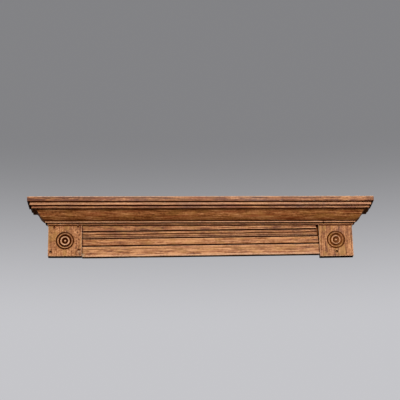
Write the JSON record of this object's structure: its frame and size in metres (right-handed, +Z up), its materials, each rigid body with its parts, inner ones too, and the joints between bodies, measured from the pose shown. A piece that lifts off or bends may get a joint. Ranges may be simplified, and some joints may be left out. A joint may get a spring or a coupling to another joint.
{
  "type": "door header",
  "caption": "Oak door header: a flat cap board and a mitred crown moulding over a reeded board between corner blocks with turned bullseyes.",
  "frame": {"origin": "on the wall face, midway along the header, at the height of the centre of the right corner block's turned bullseye", "axes": "+X along the header to the right as seen from the room, +Y into the wall, +Z up; the front faces -Y"},
  "size_m": [1.281, 0.1025, 0.2107],
  "materials": {
    "oak_cap": "old orange-brown varnish, satin, a little rubbed and dusty",
    "oak_crown": "old orange-brown varnish, satin, darkened with grime in the quirks",
    "oak_frieze": "old orange-brown varnish, satin, dark and reddish in the reeds, rubbed on the bands",
    "oak_block": "old orange-brown varnish, satin, dark in the turned grooves"
  },
  "bodies": {
    "root": {"cap_board": "oak_cap", "crown_front": "oak_crown", "crown_return_left": "oak_crown", "crown_return_right": "oak_crown", "frieze_board": "oak_frieze", "corner_block_left": "oak_block", "corner_block_right": "oak_block"}
  },
  "joints": []
}
